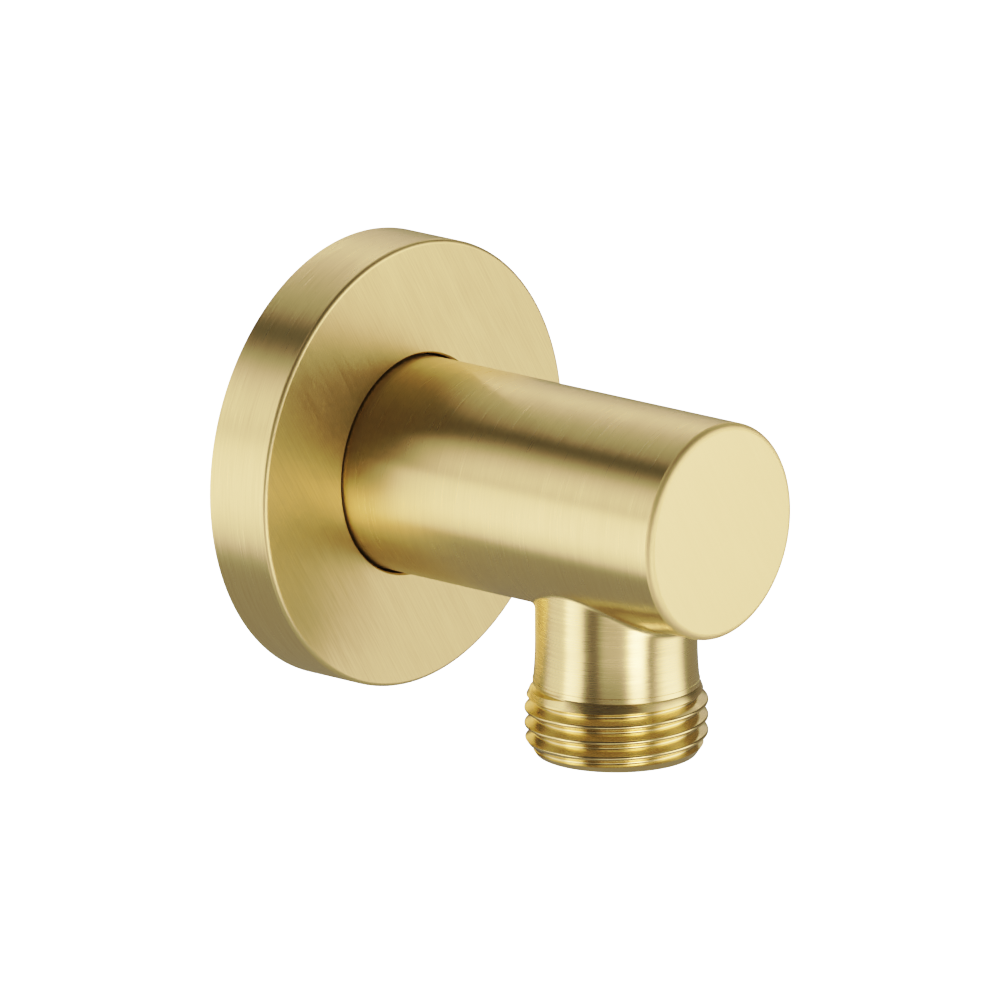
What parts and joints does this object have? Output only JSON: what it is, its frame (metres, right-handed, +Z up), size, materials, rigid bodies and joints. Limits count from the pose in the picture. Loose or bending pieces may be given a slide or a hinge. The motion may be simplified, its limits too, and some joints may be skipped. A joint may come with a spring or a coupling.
{
  "type": "wall outlet elbow",
  "caption": "Round-barrelled wall outlet elbow with a sliding cover flange and a threaded outlet pointing down, which feeds a hand shower's hose from a fitting in the wall.",
  "frame": {"origin": "on the axis of the barrel and of the inlet thread, where it meets the finished wall", "axes": "+Y into the wall along the inlet thread, +Z up, so the outlet points along -Z"},
  "size_m": [0.052, 0.0682, 0.0545],
  "materials": {
    "brushed_brass": "fine satin brushing, thread turned bright",
    "seal_rubber": "matt black"
  },
  "bodies": {
    "elbow": {"elbow_body": "brushed_brass"},
    "flange": {"wall_flange": "brushed_brass", "flange_o_ring": "seal_rubber"}
  },
  "joints": [
    {"name": "flange_slide", "type": "slide", "parent": "elbow", "child": "flange", "axis": [0, -1, 0], "range_m": [0, 0.0195]}
  ]
}
